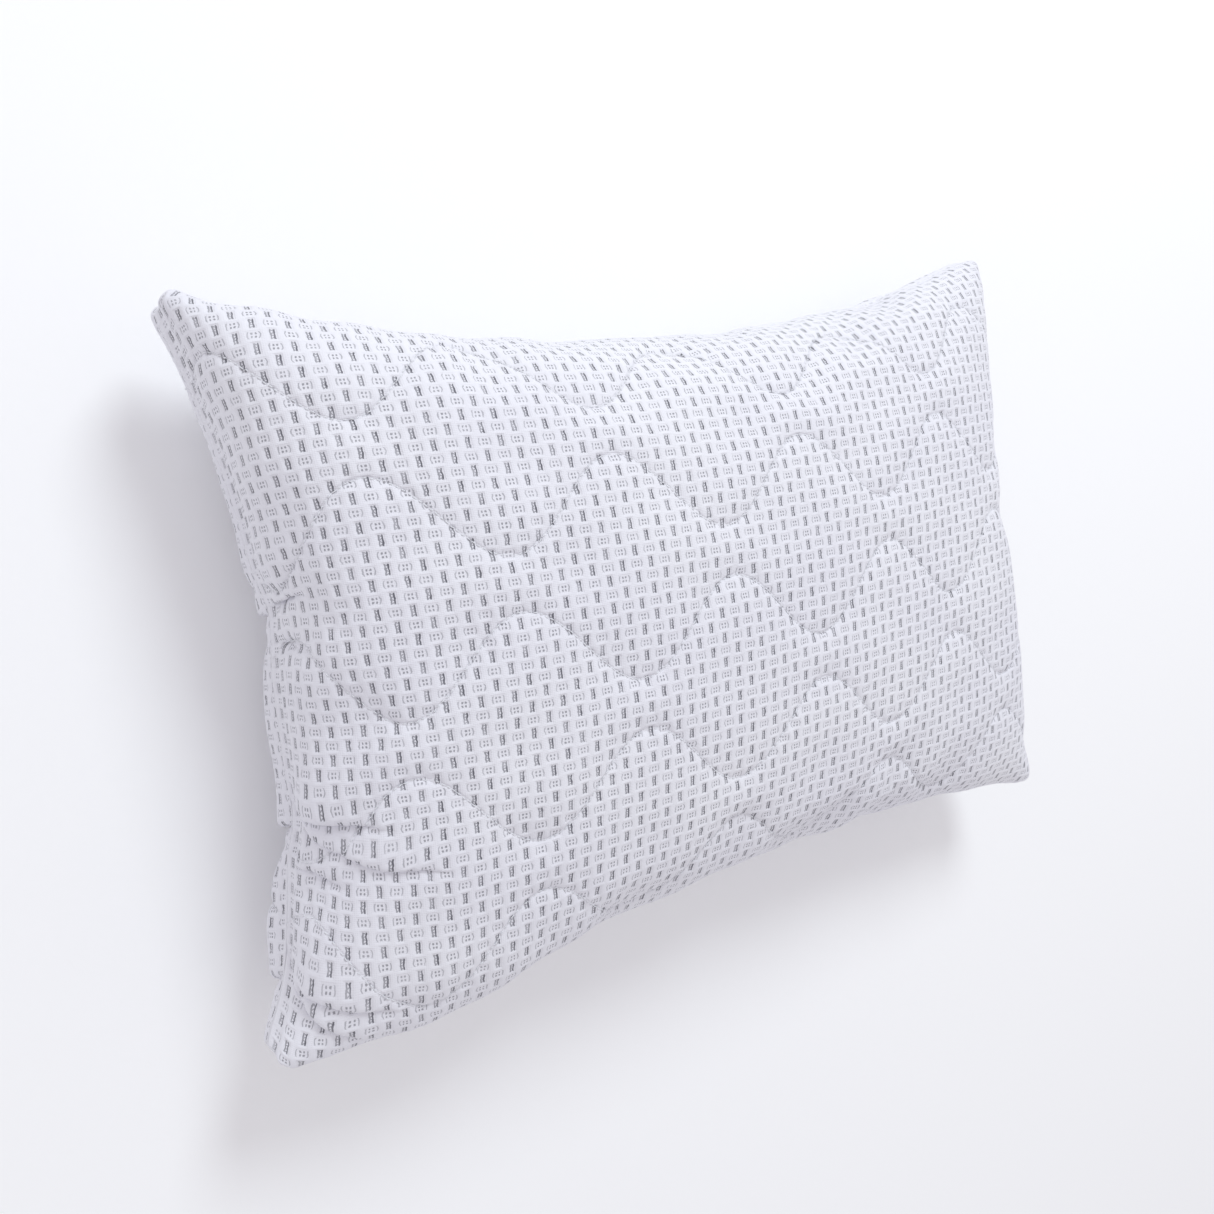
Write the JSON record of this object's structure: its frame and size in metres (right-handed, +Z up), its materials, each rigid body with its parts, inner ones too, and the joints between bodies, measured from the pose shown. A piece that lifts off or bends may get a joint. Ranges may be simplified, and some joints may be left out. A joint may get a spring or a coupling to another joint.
{
  "type": "bed pillow",
  "caption": "Plump rectangular bed pillow with quilted knitted panels, wavy stitched rows and pointed corners, lying flat on its back panel.",
  "frame": {"origin": "on the surface that the pillow lies on, below the middle of its box", "axes": "+Z up, from the back panel to the front panel; +X along the length; +Y across, from the fuller long edge to the one that draws in further"},
  "size_m": [0.68, 0.454, 0.1675],
  "materials": {
    "knit_face_fabric": "white knitted jacquard with a basket relief and a checkerboard of small dark grey dashes",
    "polyester_wadding": "soft white needled polyester wadding",
    "nonwoven_backing": "thin white spunbonded non-woven sheet, matt",
    "quilting_thread": "white spun polyester thread, slight sheen",
    "sewing_thread": "white spun polyester sewing thread",
    "fibre_fill": "fluffy white hollow polyester fibre"
  },
  "bodies": {
    "root": {"front_face_fabric": "knit_face_fabric", "front_wadding": "polyester_wadding", "front_backing": "nonwoven_backing", "front_quilting_row_1": "quilting_thread", "front_quilting_row_2": "quilting_thread", "front_quilting_row_3": "quilting_thread", "front_quilting_row_4": "quilting_thread", "front_quilting_row_5": "quilting_thread", "back_face_fabric": "knit_face_fabric", "back_wadding": "polyester_wadding", "back_backing": "nonwoven_backing", "back_quilting_row_1": "quilting_thread", "back_quilting_row_2": "quilting_thread", "back_quilting_row_3": "quilting_thread", "back_quilting_row_4": "quilting_thread", "back_quilting_row_5": "quilting_thread", "perimeter_seam_thread": "sewing_thread", "overlock_thread": "sewing_thread", "closing_seam_thread": "sewing_thread", "fibre_fill": "fibre_fill"}
  },
  "joints": []
}
